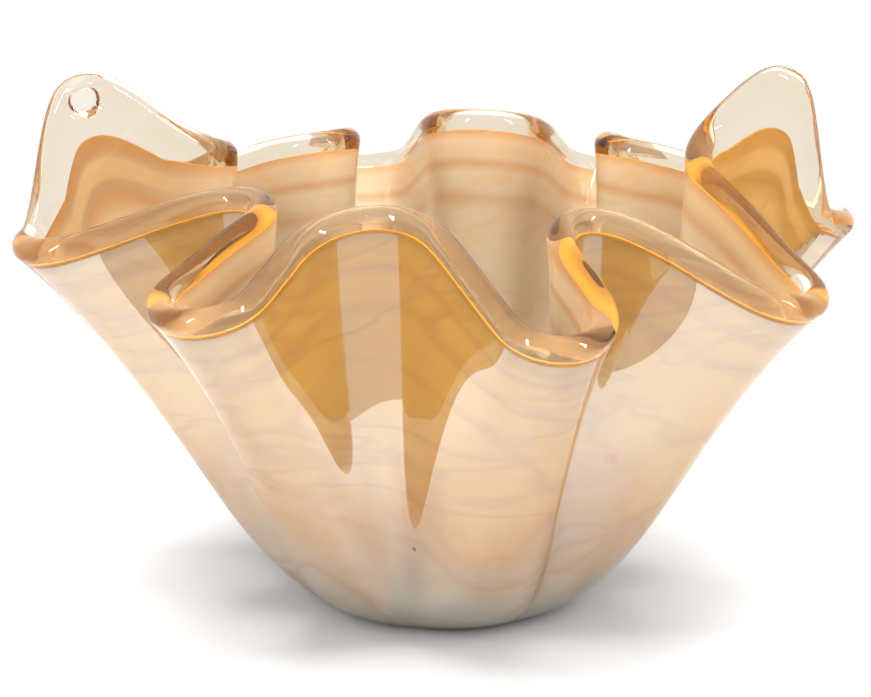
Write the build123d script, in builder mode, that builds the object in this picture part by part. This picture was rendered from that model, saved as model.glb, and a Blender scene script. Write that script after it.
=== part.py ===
from build123d import *
import math
import os

# Free-blown art glass bowl with a folded rim: eight drooping lobes, eight folds
# drawn in between them, and two lobes pulled up into tall horns.
# Millimetres, +Z up. The origin is the middle of the foot, on the table.

# ---- Size of the wall ----
REACH_SCALE = 1.0        # grows the rim outline about the axis
HEIGHT_SCALE = 1.0       # grows every rim height
FOOT_RADIUS = 51.0       # flat of the foot, before the heel turns up
MEAN_RIM_RADIUS = 156.0  # rim circle before it was folded
FOOT_WALL = 14.0         # glass under the well of the bowl
BODY_WALL = 8.2
RIM_WALL = 12.5          # fire-polished bead round the lip

# ---- How the wall rises from the foot (0) to the lip (1) ----
BELLY_POWER = 0.8        # below 1 gives the full, round heel
RISE_POWER = 1.55
LOBE_POWER = 4.0         # lobes flare only towards the lip
FOLD_POWER = 1.5         # folds start lower down the body
HORN_POWER = 7.0         # horns are pulled from the last stretch of the wall
FOOT_FADE = 8            # how fast the heavy foot thins into the wall
BEAD_FADE = 14           # how close to the lip the bead swells

# ---- Layers of glass ----
CASING_SKIN = 2.0        # clear outer gather on the wall
CASING_FOOT = 7.5        # clear outer gather under the foot
COLOUR_THICKNESS = 2.8   # amber and cream gather between the clear ones
LIP_START = 0.965        # the layers stop here and the clear lip takes over
LIP_MIDDLE = 0.984
BOND_GAP = 0.6           # clearance between neighbouring layers

# ---- Rim, anticlockwise from above, starting beside the right horn ----
# side (1 = lobe, -1 = fold), angle, reach of the tip, radius of the turn, height
TURNS = [
    (-1, -8, 118, 20, 214),
    (1, 11, 195, 20, 176),
    (-1, 37, 104, 20, 206),
    (1, 60, 190, 24, 170),
    (-1, 80, 94, 28, 212),
    (1, 104, 192, 24, 168),
    (-1, 125, 99, 20, 204),
    (1, 148, 192, 24, 169),
    (-1, 172, 106, 20, 210),
    (1, 191, 199, 20, 183),
    (-1, 212, 101, 22, 208),
    (1, 232, 190, 22, 180),
    (-1, 255, 100, 38, 212),
    (1, 287, 180, 22, 174),
    (-1, 302, 111, 20, 210),
    (1, 328, 192, 20, 173),
]
# angle of the peak, rise above the rim, slope towards the fold, slope towards the lobe
HORNS = [
    (2.1, 58, 4.6, 2.0),
    (184.2, 62, 4.9, 2.4),
]
FOLD_SIDE_SHAPE = 1.8    # gentle shoulder
LOBE_SIDE_SHAPE = 3.4    # steep shoulder
SOFTENING = 5.0          # spacing of the samples that ease one turn into the next

# ---- Resolution of the skins ----
STATIONS = 300           # points round each ring
FINE_STATIONS = 960      # samples used to space them evenly along the lip
LEVELS = [0.0, 0.02, 0.05, 0.09, 0.14, 0.20, 0.27, 0.35, 0.44, 0.53]
LEVELS += [0.61, 0.68, 0.75, 0.81, 0.86, 0.895, 0.92, 0.943, LIP_START]
BEAD_STEPS = 8           # rings round the half circle of the bead
NUDGE = 0.5              # distance used to measure a slope along the rim
STEP = 0.0005            # the same up the wall


def heading(angle):
    return Vector(math.cos(angle), math.sin(angle))


def turned_left(direction):
    return Vector(-direction.Y, direction.X)


# ---- Rim outline: arcs round the turns joined by their crossing tangents ----
def turn_centre(turn):
    side, angle, reach, radius, height = turn
    return heading(math.radians(angle)) * (reach * REACH_SCALE - side * radius)


def straight_after(turn, following):
    start, end = turn_centre(turn), turn_centre(following)
    across = end - start
    lean = math.asin((turn[3] + following[3]) / across.length)
    run = heading(math.atan2(across.Y, across.X) + turn[0] * lean)
    left = turned_left(run)
    return start - left * (turn[0] * turn[3]), end + left * (turn[0] * following[3])


def rim_pieces():
    # every arc with the straight that leaves it, and the distance along to each tip
    pieces = []
    tips = []
    travelled = 0.0
    for index, turn in enumerate(TURNS):
        side, angle, reach, radius, height = turn
        centre = turn_centre(turn)
        arrive = straight_after(TURNS[index - 1], turn)[1] - centre
        leave, landing = straight_after(turn, TURNS[(index + 1) % len(TURNS)])
        first = math.atan2(arrive.Y, arrive.X)
        last = math.atan2((leave - centre).Y, (leave - centre).X)
        tip = math.radians(angle) + (0 if side > 0 else math.pi)
        sweep = side * ((side * (last - first)) % (2 * math.pi))
        to_tip = (side * (tip - first)) % (2 * math.pi)
        tips.append(travelled + radius * to_tip)
        pieces.append((travelled, centre, radius, first, side, leave, landing))
        travelled += radius * abs(sweep) + (landing - leave).length
    return pieces, tips, travelled


PIECES, TIPS, RIM_LENGTH = rim_pieces()


def rim_outline(distance):
    distance = distance % RIM_LENGTH
    index = max(i for i, piece in enumerate(PIECES) if piece[0] <= distance)
    begins, centre, radius, first, side, leave, landing = PIECES[index]
    ends = PIECES[index + 1][0] if index + 1 < len(PIECES) else RIM_LENGTH
    straight = (landing - leave).length
    along = distance - begins
    if distance < ends - straight:
        return centre + heading(first + side * along / radius) * radius
    return leave + (landing - leave) * ((distance - (ends - straight)) / straight)


def between_tips(distance):
    # height, angle and share of lobe, eased from one tip to the next
    if distance < TIPS[0]:
        distance += RIM_LENGTH
    index = max(i for i, tip in enumerate(TIPS) if tip <= distance)
    following = (index + 1) % len(TURNS)
    wrap = 1 if following == 0 else 0
    share = (distance - TIPS[index]) / (TIPS[following] + wrap * RIM_LENGTH - TIPS[index])
    ease = 0.5 - 0.5 * math.cos(math.pi * share)
    low, high = TURNS[index][4], TURNS[following][4]
    start, end = TURNS[index][1], TURNS[following][1] + wrap * 360
    lobe_share = ease if TURNS[following][0] > 0 else 1 - ease
    return (low + (high - low) * ease) * HEIGHT_SCALE, start + (end - start) * share, lobe_share


def horn_rise(angle):
    total = 0.0
    for peak, rise, fold_side, lobe_side in HORNS:
        off = (angle - peak + 180) % 360 - 180
        if off < 0:
            total += rise * math.exp(-0.5 * (-off / fold_side) ** FOLD_SIDE_SHAPE)
        else:
            total += rise * math.exp(-0.5 * (off / lobe_side) ** LOBE_SIDE_SHAPE)
    return total * HEIGHT_SCALE


def rim_station(distance):
    # a weighted mean of nearby points rounds off where arcs meet straights
    outline = Vector(0, 0)
    height = 0.0
    weights = 0.0
    for offset in range(-2, 3):
        weight = math.exp(-0.5 * offset ** 2)
        near = (distance + offset * SOFTENING) % RIM_LENGTH
        outline += rim_outline(near) * weight
        height += between_tips(near)[0] * weight
        weights += weight
    angle, lobe_share = between_tips(distance % RIM_LENGTH)[1:]
    power = FOLD_POWER + (LOBE_POWER - FOLD_POWER) * lobe_share
    outward = heading(math.radians(angle))
    return outline / weights, height / weights, outward, horn_rise(angle), power


# ---- Wall: a plain cone of revolution near the foot, the folded rim at the lip ----
def middle(station, rise):
    outline, height, outward, horn, power = station
    spread = (MEAN_RIM_RADIUS - FOOT_RADIUS) * rise ** BELLY_POWER
    place = outward * (FOOT_RADIUS + spread)
    place += (outline - outward * MEAN_RIM_RADIUS) * rise ** power
    base = FOOT_WALL / 2
    level = base + (height - base) * rise ** RISE_POWER + horn * rise ** HORN_POWER
    return Vector(place.X, place.Y, level)


def even_stations():
    # evenly spaced along the lip itself, so the tall horns get their share
    fine = [RIM_LENGTH * i / FINE_STATIONS for i in range(FINE_STATIONS + 1)]
    lip = [middle(rim_station(distance), 1.0) for distance in fine]
    run = [0.0]
    for start, end in zip(lip, lip[1:]):
        run.append(run[-1] + (end - start).length)
    stations = []
    k = 0
    for i in range(STATIONS):
        wanted = run[-1] * i / STATIONS
        while run[k + 1] < wanted:
            k += 1
        share = (wanted - run[k]) / (run[k + 1] - run[k])
        stations.append(fine[k] + (fine[k + 1] - fine[k]) * share)
    return stations


SPACED = even_stations()
BEHIND = [rim_station(distance - NUDGE) for distance in SPACED]
HERE = [rim_station(distance) for distance in SPACED]
AHEAD = [rim_station(distance + NUDGE) for distance in SPACED]


def along_wall(index, rise):
    return (middle(AHEAD[index], rise) - middle(BEHIND[index], rise)).normalized()


def wall_frame(index, rise):
    # point in the middle of the glass, direction out of the bowl, direction up the wall
    point = middle(HERE[index], rise)
    if rise == 0:
        return point, Vector(0, 0, -1), HERE[index][2]
    up = (middle(HERE[index], rise + STEP) - middle(HERE[index], rise - STEP)).normalized()
    return point, along_wall(index, rise).cross(up).normalized(), up


def wall(rise):
    foot = (FOOT_WALL - BODY_WALL) * (1 - rise) ** FOOT_FADE
    return BODY_WALL + foot + (RIM_WALL - BODY_WALL) * rise ** BEAD_FADE


def casing(rise):
    return CASING_SKIN + (CASING_FOOT - CASING_SKIN) * (1 - rise) ** FOOT_FADE


def colour_top(rise):
    return casing(rise) + BOND_GAP


def colour_bottom(rise):
    return colour_top(rise) + COLOUR_THICKNESS


def lining_top(rise):
    return colour_bottom(rise) + BOND_GAP


def outside(rise):
    return 0.0


# ---- Rings and skins ----
def closed_curve(points):
    steps = [i / STATIONS for i in range(STATIONS + 1)]
    with BuildLine() as line:
        add(Edge.make_spline(points, periodic=True, parameters=steps))
    return line.wire()


def ring(rise, depth, drop=0.0):
    # depth is measured inwards from the outside of the glass, drop down the wall
    points = []
    for index in range(STATIONS):
        point, outward, up = wall_frame(index, rise)
        points.append(point + outward * (wall(rise) / 2 - depth(rise)) - up * drop)
    return closed_curve(points)


def skin(depth, drop):
    rings = [ring(rise, depth) for rise in LEVELS[:-1]]
    return rings + [ring(LEVELS[-1], depth, drop)]


def layer(outer_depth, inner_depth):
    # closed body between two depths, with a flat disc of glass across the well
    outer = skin(outer_depth, BOND_GAP)
    inner = skin(inner_depth, BOND_GAP)
    faces = list(Shell.make_loft(outer).faces())
    faces += Shell.make_loft(inner).faces()
    faces += Shell.make_loft([outer[-1], inner[-1]], ruled=True).faces()
    faces += [Face(outer[0]), Face(inner[0])]
    return Solid(Shell(faces))


def bead_ring(step):
    # half circle over the lip, from the outside of the wall to the inside
    turn = math.pi * step / BEAD_STEPS
    points = []
    for index in range(STATIONS):
        point, outward, up = wall_frame(index, 1.0)
        over = outward.cross(along_wall(index, 1.0)).normalized()
        points.append(point + (outward * math.cos(turn) + over * math.sin(turn)) * (RIM_WALL / 2))
    return closed_curve(points)


def lip_solid():
    # round lip the full thickness of the wall, seated on the ends of the layers
    bead = [bead_ring(step) for step in range(BEAD_STEPS + 1)]
    outer = [ring(LIP_START, outside), ring(LIP_MIDDLE, outside), bead[0]]
    inner = [bead[-1], ring(LIP_MIDDLE, wall), ring(LIP_START, wall)]
    faces = list(Shell.make_loft(outer).faces())
    faces += Shell.make_loft(bead).faces()
    faces += Shell.make_loft(inner).faces()
    faces += Shell.make_loft([outer[0], inner[-1]], ruled=True).faces()
    return Solid(Shell(faces))


os.makedirs("parts", exist_ok=True)

# ---- Clear outer gather with the heavy foot ----
with BuildPart() as outer_casing:
    add(layer(outside, casing))

# ---- Amber and cream gather sealed between the clear ones ----
with BuildPart() as colour_layer:
    add(layer(colour_top, colour_bottom))

# ---- Clear inner gather, the surface that holds the contents ----
with BuildPart() as inner_lining:
    add(layer(lining_top, wall))

# ---- Clear lip and horns ----
with BuildPart() as lip_wrap:
    add(lip_solid())

for piece, name in [
    (outer_casing, "outer_casing"),
    (colour_layer, "colour_layer"),
    (inner_lining, "inner_lining"),
    (lip_wrap, "lip_wrap"),
]:
    piece.part.label = name
    export_step(piece.part, f"parts/{name}.step")
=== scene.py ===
import math
from collections import namedtuple

import bpy
import numpy as np
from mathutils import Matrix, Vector


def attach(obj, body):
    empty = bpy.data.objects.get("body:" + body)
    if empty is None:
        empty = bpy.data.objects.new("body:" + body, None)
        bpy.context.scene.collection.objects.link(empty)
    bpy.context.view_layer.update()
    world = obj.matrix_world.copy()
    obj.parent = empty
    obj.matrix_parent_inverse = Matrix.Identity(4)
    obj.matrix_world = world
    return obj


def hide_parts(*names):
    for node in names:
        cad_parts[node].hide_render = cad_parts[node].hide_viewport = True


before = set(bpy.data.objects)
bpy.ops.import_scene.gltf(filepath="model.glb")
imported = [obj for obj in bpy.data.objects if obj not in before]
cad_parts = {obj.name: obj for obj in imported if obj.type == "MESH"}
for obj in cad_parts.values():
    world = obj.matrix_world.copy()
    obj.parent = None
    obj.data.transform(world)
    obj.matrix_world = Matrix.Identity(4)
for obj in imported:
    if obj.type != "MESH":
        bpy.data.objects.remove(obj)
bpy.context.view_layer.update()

# ---- The wall, as in the CAD part, in metres ----
FOOT_RADIUS, MEAN_RIM_RADIUS = 0.051, 0.156
FOOT_WALL, BODY_WALL, RIM_WALL = 0.014, 0.0082, 0.0125
BELLY_POWER, RISE_POWER, HORN_POWER = 0.8, 1.55, 7.0
LOBE_POWER, FOLD_POWER = 4.0, 1.5
FOOT_FADE, BEAD_FADE = 8, 14
CASING_SKIN, CASING_FOOT = 0.002, 0.0075
COLOUR_THICKNESS = 0.0028
LIP_START, COLOUR_END = 0.965, 0.988

# side (1 = lobe, -1 = fold), angle, reach of the tip, radius of the turn, height
Turn = namedtuple("Turn", "side angle reach radius height")
TURNS = [
    Turn(-1, -8, 0.118, 0.020, 0.214),
    Turn(1, 11, 0.195, 0.020, 0.176),
    Turn(-1, 37, 0.104, 0.020, 0.206),
    Turn(1, 60, 0.190, 0.024, 0.170),
    Turn(-1, 80, 0.094, 0.028, 0.212),
    Turn(1, 104, 0.192, 0.024, 0.168),
    Turn(-1, 125, 0.099, 0.020, 0.204),
    Turn(1, 148, 0.192, 0.024, 0.169),
    Turn(-1, 172, 0.106, 0.020, 0.210),
    Turn(1, 191, 0.199, 0.020, 0.183),
    Turn(-1, 212, 0.101, 0.022, 0.208),
    Turn(1, 232, 0.190, 0.022, 0.180),
    Turn(-1, 255, 0.100, 0.038, 0.212),
    Turn(1, 287, 0.180, 0.022, 0.174),
    Turn(-1, 302, 0.111, 0.020, 0.210),
    Turn(1, 328, 0.192, 0.020, 0.173),
]
# angle of the peak, rise above the rim, slope towards the fold, slope towards the lobe
HORNS = [(2.1, 0.058, 4.6, 2.0), (184.2, 0.062, 4.9, 2.4)]
FOLD_SIDE_SHAPE, LOBE_SIDE_SHAPE = 1.8, 3.4
SOFTENING = 0.005
STATIONS = 840
# distance along the rim and share of the wall over which a slope is measured
NUDGE, STEP = 0.0005, 0.0005
# rings up each face of the clear glass, of the colour, and round half the bead
GLASS_RINGS, COLOUR_RINGS, BEAD_RINGS = 101, 91, 17
COLOUR_SAMPLES = 161
DISC_SHARES = (0.75, 0.5, 0.25)


def heading(angle):
    return np.array([math.cos(angle), math.sin(angle)])


def left_of(direction):
    return np.array([-direction[1], direction[0]])


def turn_centre(turn):
    return heading(math.radians(turn.angle)) * (turn.reach - turn.side * turn.radius)


def straight_after(turn, following):
    """Ends of the crossing tangent from one turn to the next."""
    start, end = turn_centre(turn), turn_centre(following)
    across = end - start
    lean = math.asin((turn.radius + following.radius) / np.hypot(*across))
    run = heading(math.atan2(across[1], across[0]) + turn.side * lean)
    sideways = left_of(run) * turn.side
    return start - sideways * turn.radius, end + sideways * following.radius


def rim_pieces():
    """Arcs with the straights that leave them, distance to each tip, whole length."""
    pieces, tips, travelled = [], [], 0.0
    for index, turn in enumerate(TURNS):
        side, radius = turn.side, turn.radius
        centre = turn_centre(turn)
        arrive = straight_after(TURNS[index - 1], turn)[1] - centre
        leave, landing = straight_after(turn, TURNS[(index + 1) % len(TURNS)])
        first = math.atan2(arrive[1], arrive[0])
        last = math.atan2(leave[1] - centre[1], leave[0] - centre[0])
        tip = math.radians(turn.angle) + (0 if side > 0 else math.pi)
        arc = radius * ((side * (last - first)) % (2 * math.pi))
        straight = np.hypot(*(landing - leave))
        tips.append(travelled + radius * ((side * (tip - first)) % (2 * math.pi)))
        pieces.append((travelled, centre, radius, first, side, leave, landing, arc, straight))
        travelled += arc + straight
    return pieces, tips, travelled


PIECES, TIPS, RIM_LENGTH = rim_pieces()
STARTS = [piece[0] for piece in PIECES]


def rim_outline(distance):
    distance = distance % RIM_LENGTH
    begins, centre, radius, first, side, leave, landing, arc, straight = PIECES[
        int(np.searchsorted(STARTS, distance, side="right")) - 1
    ]
    along = distance - begins
    if along < arc:
        return centre + heading(first + side * along / radius) * radius
    return leave + (landing - leave) * ((along - arc) / straight)


def between_tips(distance):
    """Height, angle and share of lobe, eased from one tip to the next."""
    if distance < TIPS[0]:
        distance += RIM_LENGTH
    index = int(np.searchsorted(TIPS, distance, side="right")) - 1
    following = (index + 1) % len(TURNS)
    wrap = 1 if following == 0 else 0
    share = (distance - TIPS[index]) / (TIPS[following] + wrap * RIM_LENGTH - TIPS[index])
    ease = 0.5 - 0.5 * math.cos(math.pi * share)
    low, high = TURNS[index].height, TURNS[following].height
    start, end = TURNS[index].angle, TURNS[following].angle + wrap * 360
    lobe_share = ease if TURNS[following].side > 0 else 1 - ease
    return low + (high - low) * ease, start + (end - start) * share, lobe_share


def horn_rise(angle):
    total = 0.0
    for peak, rise, fold_side, lobe_side in HORNS:
        off = (angle - peak + 180) % 360 - 180
        if off < 0:
            total += rise * math.exp(-0.5 * (-off / fold_side) ** FOLD_SIDE_SHAPE)
        else:
            total += rise * math.exp(-0.5 * (off / lobe_side) ** LOBE_SIDE_SHAPE)
    return total


def rim_station(distance):
    """Outline x and y, height, heading x and y, horn rise and flare power."""
    outline, height, weights = np.zeros(2), 0.0, 0.0
    for offset in range(-2, 3):
        weight = math.exp(-0.5 * offset**2)
        near = (distance + offset * SOFTENING) % RIM_LENGTH
        outline += rim_outline(near) * weight
        height += between_tips(near)[0] * weight
        weights += weight
    angle, lobe_share = between_tips(distance % RIM_LENGTH)[1:]
    power = FOLD_POWER + (LOBE_POWER - FOLD_POWER) * lobe_share
    outward = heading(math.radians(angle))
    return [*(outline / weights), height / weights, *outward, horn_rise(angle), power]


def middle(stations, rise):
    """Middle of the glass at every station, that share of the way up the wall."""
    outline, height, outward = stations[:, :2], stations[:, 2], stations[:, 3:5]
    horn, power = stations[:, 5], stations[:, 6:]
    spread = (MEAN_RIM_RADIUS - FOOT_RADIUS) * rise**BELLY_POWER
    place = outward * (FOOT_RADIUS + spread)
    place = place + (outline - outward * MEAN_RIM_RADIUS) * rise**power
    base = FOOT_WALL / 2
    level = base + (height - base) * rise**RISE_POWER + horn * rise**HORN_POWER
    return np.column_stack([place, level])


def even_stations():
    """Distances round the rim that are evenly spaced along the lip itself, points included."""
    fine = np.linspace(0, RIM_LENGTH, 4 * STATIONS + 1)
    lip = middle(np.array([rim_station(distance) for distance in fine]), 1.0)
    run = np.concatenate([[0], np.cumsum(np.linalg.norm(np.diff(lip, axis=0), axis=1))])
    return np.interp(np.arange(STATIONS) * run[-1] / STATIONS, run, fine)


SPACED = even_stations()
BEHIND = np.array([rim_station(distance - NUDGE) for distance in SPACED])
HERE = np.array([rim_station(distance) for distance in SPACED])
AHEAD = np.array([rim_station(distance + NUDGE) for distance in SPACED])


def unit(vectors):
    return vectors / np.linalg.norm(vectors, axis=1, keepdims=True)


def wall_frame(rise):
    """Middle of the glass, outward normal, direction along the rim."""
    point = middle(HERE, rise)
    along = unit(middle(AHEAD, rise) - middle(BEHIND, rise))
    if rise == 0:
        down = np.tile([0.0, 0.0, -1.0], (STATIONS, 1))
        return point, down, along
    up = unit(middle(HERE, rise + STEP) - middle(HERE, max(rise - STEP, 0)))
    return point, unit(np.cross(along, up)), along


def wall(rise):
    """Thickness of all the glass, that share of the way up."""
    foot = (FOOT_WALL - BODY_WALL) * (1 - rise) ** FOOT_FADE
    return BODY_WALL + foot + (RIM_WALL - BODY_WALL) * rise**BEAD_FADE


def casing(rise):
    """Depth of the colour below the outside of the glass."""
    return CASING_SKIN + (CASING_FOOT - CASING_SKIN) * (1 - rise) ** FOOT_FADE


# the mark on the left point: a round dent on both faces just under its tip
PINCHED = int(np.argmax(np.where(HERE[:, 3] < 0, HERE[:, 5], 0)))
PINCH_RISE, PINCH_RADIUS, PINCH_DEPTH, PINCH_EDGE = 0.992, 0.0085, 0.55, 8
PINCH = middle(HERE[PINCHED : PINCHED + 1], PINCH_RISE)


def pinched(points):
    """Share of the wall's thickness left at each point."""
    away = np.linalg.norm(points - PINCH, axis=1) / PINCH_RADIUS
    return (1 - PINCH_DEPTH * np.exp(-(away**PINCH_EDGE)))[:, None]


def ring(rise, depth):
    """Closed ring at a depth below the outside of the glass."""
    point, outward, _ = wall_frame(rise)
    return point + outward * (wall(rise) / 2 - depth) * pinched(point)


def bead_ring(turn):
    """Ring of the round lip, turned from the outside of the wall (0) to the inside (pi)."""
    point, outward, along = wall_frame(1.0)
    over = unit(np.cross(outward, along))
    return point + (outward * math.cos(turn) + over * math.sin(turn)) * RIM_WALL / 2


# ---- Meshes ----
def join(faces, lower, upper, flip=False):
    """Quads between two rings of points that start at these indices."""
    for i in range(STATIONS):
        k = (i + 1) % STATIONS
        quad = (lower + i, lower + k, upper + k, upper + i)
        faces.append(quad[::-1] if flip else quad)


def close_with_disc(points, faces, ring_start, edge, flip):
    """Flat disc of glass inside the ring, as narrowing rings and a fan."""
    centre = edge.mean(axis=0)
    previous = ring_start
    for share in DISC_SHARES:
        start = len(points)
        points.extend(tuple(centre + (p - centre) * share) for p in edge)
        join(faces, previous, start, flip)
        previous = start
    points.append(tuple(centre))
    for i in range(STATIONS):
        tri = (previous + i, previous + (i + 1) % STATIONS, len(points) - 1)
        faces.append(tri[::-1] if flip else tri)


def grid_mesh(name, rings, rises):
    """Closed skin through the rings; its UV map is distance round the rim and rise."""
    points = [tuple(p) for p in np.concatenate(rings)]
    count = len(rings)
    faces = []
    for j in range(count - 1):
        join(faces, j * STATIONS, (j + 1) * STATIONS)
    close_with_disc(points, faces, 0, rings[0], True)
    close_with_disc(points, faces, (count - 1) * STATIONS, rings[-1], False)
    mesh = bpy.data.meshes.new(name)
    mesh.from_pydata(points, [], faces)
    uv = mesh.uv_layers.new(name="wall")
    round_rim = np.append(SPACED, RIM_LENGTH) / RIM_LENGTH
    values = np.zeros((len(mesh.loops), 2), dtype=np.float32)
    start = 0
    for low, high in zip(rises, rises[1:]):
        for here, there in zip(round_rim, round_rim[1:]):
            values[start : start + 4] = (here, low), (there, low), (there, high), (here, high)
            start += 4
    uv.data.foreach_set("uv", values.ravel())
    mesh.polygons.foreach_set("use_smooth", [True] * len(mesh.polygons))
    mesh.update()
    piece = bpy.data.objects.new(name, mesh)
    bpy.context.collection.objects.link(piece)
    return piece


def closer_at_ends(count):
    """Rises from 0 to 1, closest together at the foot and the lip."""
    return 0.5 - 0.5 * np.cos(np.linspace(0, math.pi, count))


LEVELS = closer_at_ends(GLASS_RINGS)
BEAD = np.linspace(0, math.pi, BEAD_RINGS)[1:-1]
BEAD_RISE = 0.02  # how far the UV map runs up over the bead
outer = [ring(rise, 0.0) for rise in LEVELS]
bead = [bead_ring(turn) for turn in BEAD]
inner = [ring(rise, wall(rise)) for rise in LEVELS[::-1]]
glass_rises = list(LEVELS) + [1.0 + BEAD_RISE * math.sin(turn) for turn in BEAD]
glass_rises += list(2 + 2 * BEAD_RISE - LEVELS[::-1])
glass = grid_mesh("clear_glass", outer + bead + inner, glass_rises)

# how far up the wall the colour and the lustre run, lower where a tall point is drawn out
COLOUR_LEVELS = closer_at_ends(COLOUR_RINGS)
FULL_POINT = 0.03  # horn rise at which a station counts as all tall point
LUSTRE_MARGIN, LUSTRE_DROP = 0.004, 0.30
IN_POINT = np.clip(HERE[:, 5] / FULL_POINT, 0, 1)
TOP_OF_COLOUR = COLOUR_END - (COLOUR_END - LIP_START) * IN_POINT
TOP_OF_LUSTRE = COLOUR_END - LUSTRE_MARGIN - LUSTRE_DROP * IN_POINT


def colour_rings(extra):
    """Rings at one depth, each station running from the foot to its own top of colour."""
    rises = np.linspace(0, COLOUR_END, COLOUR_SAMPLES)
    column = np.arange(STATIONS)
    stack = np.array([ring(rise, casing(rise) + extra) for rise in rises])
    rings = []
    for level in COLOUR_LEVELS:
        place = level * TOP_OF_COLOUR / COLOUR_END * (len(rises) - 1)
        below = np.minimum(place.astype(int), len(rises) - 2)
        share = (place - below)[:, None]
        rings.append(stack[below, column] * (1 - share) + stack[below + 1, column] * share)
    return rings


amber_side = colour_rings(0.0)
cream_side = colour_rings(COLOUR_THICKNESS)[::-1]
colour_rises = list(COLOUR_LEVELS) + list(COLOUR_LEVELS[::-1])
colour = grid_mesh("amber_gather", amber_side + cream_side, colour_rises)


# ---- Materials ----
GLASS_TINT, GLASS_IOR = (1.0, 0.98, 0.95, 1), 1.5
FILM_NANOMETRES, FILM_IOR = 63.0, 2.12
ABSORPTION, ABSORPTION_DENSITY = (0.79, 0.64, 0.36, 1), 56.0
RIPPLE_SCALE, RIPPLE_HEIGHT, RIPPLE_STRENGTH = 13.0, 0.0014, 0.35


def material(name):
    made = bpy.data.materials.new(name)
    made.use_nodes = True
    tree = made.node_tree
    return made, tree, tree.nodes["Principled BSDF"]


def node(tree, kind, **settings):
    made = tree.nodes.new(kind)
    for key, value in settings.items():
        if key in made.inputs:
            made.inputs[key].default_value = value
        else:
            setattr(made, key, value)
    return made


def noise(tree, scale, detail, roughness, distortion):
    made = node(tree, "ShaderNodeTexNoise", Scale=scale, Detail=detail)
    made.inputs["Roughness"].default_value = roughness
    made.inputs["Distortion"].default_value = distortion
    return made


def clear_glass(name, lustre):
    """Clear glass with a faint amber depth, with or without the thin lustre film."""
    made, tree, shader = material(name)
    shader.inputs["Base Color"].default_value = GLASS_TINT
    shader.inputs["Transmission Weight"].default_value = 1.0
    shader.inputs["Roughness"].default_value = 0.0
    shader.inputs["IOR"].default_value = GLASS_IOR
    if lustre:
        shader.inputs["Thin Film Thickness"].default_value = FILM_NANOMETRES
        shader.inputs["Thin Film IOR"].default_value = FILM_IOR
    coords = node(tree, "ShaderNodeTexCoord")
    ripple = noise(tree, RIPPLE_SCALE, 0.0, 0.4, 0.4)
    tree.links.new(coords.outputs["Object"], ripple.inputs["Vector"])
    bump = node(tree, "ShaderNodeBump", Strength=RIPPLE_STRENGTH, Distance=RIPPLE_HEIGHT)
    tree.links.new(ripple.outputs["Fac"], bump.inputs["Height"])
    tree.links.new(bump.outputs["Normal"], shader.inputs["Normal"])
    depth = {"Color": ABSORPTION, "Density": ABSORPTION_DENSITY}
    absorb = node(tree, "ShaderNodeVolumeAbsorption", **depth)
    tree.links.new(absorb.outputs[0], tree.nodes["Material Output"].inputs["Volume"])
    return made


def ramp_node(tree, stops):
    """Colour ramp; the first two stops given take the two that a new ramp has."""
    made = tree.nodes.new("ShaderNodeValToRGB")
    ends = made.color_ramp.elements
    for index, (place, colour_here) in enumerate(stops):
        stop = ends[index] if index < 2 else ends.new(place)
        stop.position = place
        shade = colour_here if isinstance(colour_here, tuple) else (colour_here,) * 3
        stop.color = (*shade, 1)
    return made


def math_node(tree, kind, first, second):
    made = tree.nodes.new("ShaderNodeMath")
    made.operation = kind
    for socket, value in ((made.inputs[0], first), (made.inputs[1], second)):
        if isinstance(value, (int, float)):
            socket.default_value = value
        else:
            tree.links.new(value, socket)
    return made.outputs[0]


AMBER_EDGE = (0.72, 0.35, 0.06)
# amber drawn out in nested bands up each tall point, by rise up the wall
BAND_LIGHT, BAND_DARK = (0.93, 0.72, 0.36), (0.62, 0.36, 0.09)
POINT_BANDS = [
    (0.895, BAND_LIGHT),
    (1.00, BAND_DARK),
    (0.903, BAND_DARK),
    (0.911, BAND_LIGHT),
    (0.946, BAND_LIGHT),
    (0.951, BAND_DARK),
    (0.961, BAND_DARK),
    (0.966, BAND_LIGHT),
    (0.981, BAND_LIGHT),
    (0.986, BAND_DARK),
]
# a dark seed and a brown spot in the glass: place, radius, colour
INCLUSIONS = [
    ((-0.0145, -0.0922, 0.0543), 0.0018, (0.10, 0.07, 0.05)),
    ((0.0750, -0.0870, 0.0966), 0.0036, (0.82, 0.22, 0.01)),
]


INCLUSION_CORE = 0.6  # share of the radius that has the full colour
# darker lines near the edge of the colour, by rise up the wall
OUTLINE = [
    (0.86, 0.0),
    (1.0, 0.7),
    (0.885, 0.35),
    (0.90, 0.05),
    (0.93, 0.0),
    (0.945, 0.5),
    (0.957, 0.08),
    (0.985, 0.2),
]
STREAK_LINE = [(0.46, 0.0), (0.50, 0.42), (0.53, 0.0)]
# rise plus cloud at which the low, high and middle tints are reached
LOW_AT, HIGH_AT, MIDDLE_AT = 0.50, 1.32, 0.88
CLOUD_DRIFT = 0.75
# distance to either side, and height, over which the body turns into a tall point
POINT_SIDE, POINT_HEIGHT, POINT_SHARE = (0.09, 0.165), (0.13, 0.21), 0.85
TRANSLUCENT_SHARE, CLEAR_SHARE = 0.25, 0.06


def spread(tree, value, low, high, top=1.0):
    """Map a value between two levels to a share from nothing to the top."""
    made = node(tree, "ShaderNodeMapRange")
    made.inputs["From Min"].default_value = low
    made.inputs["From Max"].default_value = high
    made.inputs["To Max"].default_value = top
    tree.links.new(value, made.inputs["Value"])
    return made.outputs["Result"]


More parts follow.
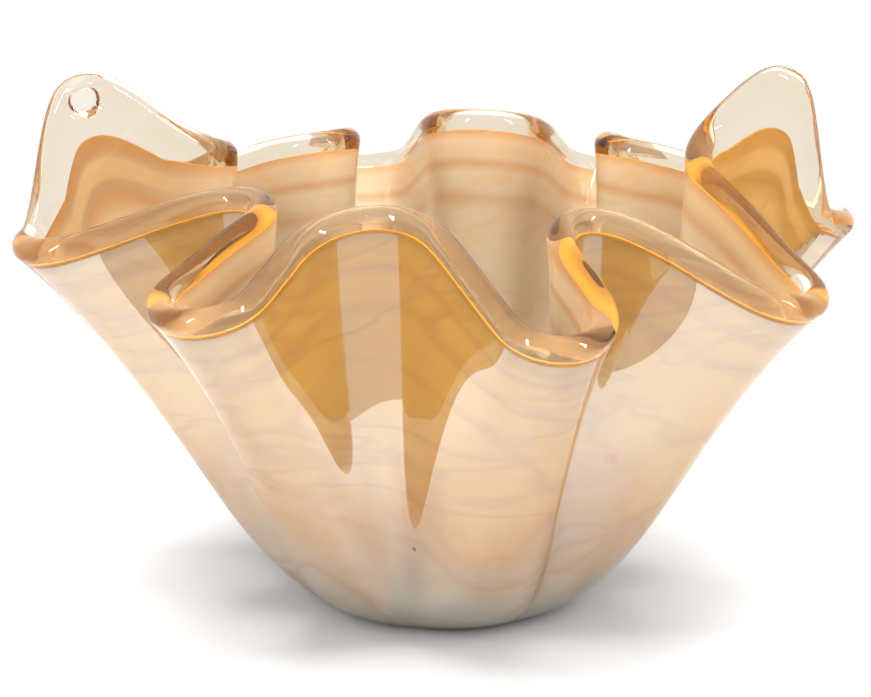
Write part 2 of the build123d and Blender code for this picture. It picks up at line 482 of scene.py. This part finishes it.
def mix(tree, share, first, second):
    """Mix of a linked colour with another, linked or constant."""
    made = tree.nodes.new("ShaderNodeMix")
    made.data_type = "RGBA"
    tree.links.new(share, made.inputs["Factor"])
    tree.links.new(first, made.inputs[6])
    if isinstance(second, tuple):
        made.inputs[7].default_value = (*second, 1)
    else:
        tree.links.new(second, made.inputs[7])
    return made.outputs[2]


def opal_glass(name, low, middle_tint, high, edge, streak):
    """Cloudy coloured glass, changing up the wall, with streaks and lines near its edge."""
    made, tree, shader = material(name)
    links = tree.links
    coords = node(tree, "ShaderNodeTexCoord")
    wall_map = node(tree, "ShaderNodeSeparateXYZ")
    links.new(coords.outputs["UV"], wall_map.inputs[0])
    place = node(tree, "ShaderNodeSeparateXYZ")
    links.new(coords.outputs["Object"], place.inputs[0])

    cloud = noise(tree, 9.0, 4.0, 0.55, 1.5)
    links.new(coords.outputs["Object"], cloud.inputs["Vector"])
    drift = math_node(tree, "MULTIPLY", cloud.outputs["Fac"], CLOUD_DRIFT)
    body = ramp_node(tree, [(LOW_AT, low), (HIGH_AT, high), (MIDDLE_AT, middle_tint)])
    links.new(math_node(tree, "ADD", wall_map.outputs["Y"], drift), body.inputs["Fac"])

    stretch = node(tree, "ShaderNodeMapping", Scale=(1.0, 1.0, 2.6))
    links.new(coords.outputs["Object"], stretch.inputs["Vector"])
    streaks = noise(tree, 7.0, 3.0, 0.5, 1.2)
    links.new(stretch.outputs[0], streaks.inputs["Vector"])
    fine = ramp_node(tree, STREAK_LINE)
    links.new(streaks.outputs["Fac"], fine.inputs["Fac"])
    tint = mix(tree, fine.outputs["Color"], body.outputs["Color"], streak)

    sideways = math_node(tree, "ABSOLUTE", place.outputs["X"], 0.0)
    out_to_side = spread(tree, sideways, *POINT_SIDE, POINT_SHARE)
    high_up = spread(tree, place.outputs["Z"], *POINT_HEIGHT, POINT_SHARE)
    in_points = math_node(tree, "MULTIPLY", out_to_side, high_up)
    nested = ramp_node(tree, POINT_BANDS)
    links.new(wall_map.outputs["Y"], nested.inputs["Fac"])
    tint = mix(tree, in_points, tint, nested.outputs["Color"])

    outline = ramp_node(tree, OUTLINE)
    links.new(wall_map.outputs["Y"], outline.inputs["Fac"])
    tint = mix(tree, outline.outputs["Color"], tint, edge)

    for centre, radius, shade in INCLUSIONS:
        away = node(tree, "ShaderNodeVectorMath", operation="DISTANCE")
        links.new(coords.outputs["Object"], away.inputs[0])
        away.inputs[1].default_value = centre
        inside = spread(tree, away.outputs["Value"], radius, radius * INCLUSION_CORE)
        tint = mix(tree, inside, tint, shade)
    links.new(tint, shader.inputs["Base Color"])
    shader.inputs["Roughness"].default_value = 0.6
    shader.inputs["IOR"].default_value = 1.0
    through = node(tree, "ShaderNodeBsdfTranslucent")
    links.new(tint, through.inputs["Color"])
    clear_part = node(tree, "ShaderNodeBsdfTransparent", Color=(0.95, 0.80, 0.55, 1))
    both = node(tree, "ShaderNodeMixShader", Fac=TRANSLUCENT_SHARE)
    links.new(shader.outputs[0], both.inputs[1])
    links.new(through.outputs[0], both.inputs[2])
    thin = node(tree, "ShaderNodeMixShader", Fac=CLEAR_SHARE)
    links.new(both.outputs[0], thin.inputs[1])
    links.new(clear_part.outputs[0], thin.inputs[2])
    links.new(thin.outputs[0], tree.nodes["Material Output"].inputs["Surface"])
    return made


# faces come ring by ring, then the foot disc, then the disc under the well
DISC_FACES = (len(DISC_SHARES) + 1) * STATIONS
LUSTRE_SLOT, PLAIN_SLOT = 0, 1
AMBER_SLOT, CREAM_SLOT = 0, 1

glass.data.materials.append(clear_glass("clear_glass_lustre", True))
glass.data.materials.append(clear_glass("clear_glass_plain", False))
glass_walls = (len(glass_rises) - 1) * STATIONS
for index, face in enumerate(glass.data.polygons):
    level, station = divmod(index, STATIONS)
    if index < glass_walls:
        plain = level >= len(LEVELS) or LEVELS[level] > TOP_OF_LUSTRE[station]
    else:
        plain = index >= glass_walls + DISC_FACES
    face.material_index = PLAIN_SLOT if plain else LUSTRE_SLOT

# low, middle and high tints of the body, outline, streaks
outside_tints = (
    (0.78, 0.77, 0.68),
    (0.88, 0.47, 0.03),
    (0.97, 0.61, 0.06),
    AMBER_EDGE,
    (0.72, 0.34, 0.03),
)
# the low inside tint is a duller cream than the middle one: painted shade on the lower inner
# wall and the floor of the well, dimming the light that the top lamp pools there
inside_tints = (
    (0.92, 0.87, 0.74),
    (0.99, 0.98, 0.92),
    (0.99, 0.96, 0.86),
    AMBER_EDGE,
    (0.96, 0.80, 0.48),
)
colour.data.materials.append(opal_glass("amber_opal", *outside_tints))
colour.data.materials.append(opal_glass("cream_opal", *inside_tints))
colour_walls = (len(colour_rises) - 1) * STATIONS
for index, face in enumerate(colour.data.polygons):
    on_inner_wall = len(COLOUR_LEVELS) * STATIONS <= index < colour_walls
    cream = on_inner_wall or index >= colour_walls + DISC_FACES
    face.material_index = CREAM_SLOT if cream else AMBER_SLOT

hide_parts("outer_casing", "inner_lining", "lip_wrap")
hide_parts("colour_layer")
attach(glass, "root")
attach(colour, "root")


# ---- Floor ----
FLOOR_RADIUS, FLOOR_LEVEL, FLOOR_CORNERS = 0.36, -0.0005, 96
FLOOR_GREY = 0.45


def disc(name, radius, level, corners):
    made = bpy.data.meshes.new(name)
    rim = [heading(math.tau * i / corners) * radius for i in range(corners)]
    made.from_pydata([(x, y, level) for x, y in rim], [], [tuple(range(corners))])
    placed = bpy.data.objects.new(name, made)
    bpy.context.collection.objects.link(placed)
    return placed


floor = disc("floor", FLOOR_RADIUS, FLOOR_LEVEL, FLOOR_CORNERS)
paper, _, paper_shader = material("pale_paper")
paper_shader.inputs["Base Color"].default_value = (FLOOR_GREY, FLOOR_GREY, FLOOR_GREY, 1)
paper_shader.inputs["Roughness"].default_value = 0.9
floor.data.materials.append(paper)

# ---- Light ----
scene = bpy.context.scene
world = bpy.data.worlds.new("studio")
world.use_nodes = True
background = world.node_tree.nodes["Background"]
background.inputs["Color"].default_value = (1, 1, 1, 1)
background.inputs["Strength"].default_value = 1.0
scene.world = world


def softbox(name, place, aim, width, height, power, mirrored=False):
    """Rectangular lamp aimed at a point, seen in the glass only if mirrored."""
    data = bpy.data.lights.new(name, "AREA")
    data.shape = "RECTANGLE"
    data.size, data.size_y = width, height
    data.energy = power
    lamp = bpy.data.objects.new(name, data)
    bpy.context.collection.objects.link(lamp)
    lamp.location = place
    facing = np.array(aim) - np.array(place)
    lamp.rotation_euler = Vector(facing).to_track_quat("-Z", "Y").to_euler()
    lamp.visible_camera = False
    lamp.visible_glossy = mirrored


BODY, UPPER_BODY, FOOT = (0, 0, 0.1), (0, 0, 0.15), (0, 0, 0)
softbox("left_box", (-1.5, -0.4, 0.9), BODY, 0.8, 1.2, 9)
softbox("right_box", (1.5, -0.2, 0.9), BODY, 0.8, 1.2, 9)
softbox("front_box", (0, -2.0, 1.1), BODY, 1.4, 0.8, 9)
softbox("top_box", (0, 0, 1.7), FOOT, 1.3, 1.3, 105)
softbox("left_strip", (-1.0, -1.2, 0.9), UPPER_BODY, 0.10, 1.0, 11.0, mirrored=True)
softbox("right_strip", (1.1, -0.9, 1.0), UPPER_BODY, 0.10, 1.0, 11.0, mirrored=True)
scene.view_settings.view_transform = "Standard"
scene.cycles.transmission_bounces = 20
scene.cycles.transparent_max_bounces = 16
scene.cycles.glossy_bounces = 8
scene.cycles.diffuse_bounces = 6
scene.cycles.max_bounces = 24

# ---- Camera ----
CAMERA_PLACE, CAMERA_TILT = (-0.005, -1.530, 0.590), 73
LENS, SENSOR_WIDTH = 138.0, 36.0
camera_data = bpy.data.cameras.new("camera")
camera_data.lens = LENS
camera_data.sensor_width = SENSOR_WIDTH
camera = bpy.data.objects.new("camera", camera_data)
bpy.context.collection.objects.link(camera)
camera.location = CAMERA_PLACE
camera.rotation_euler = (math.radians(CAMERA_TILT), 0, 0)
scene.camera = camera
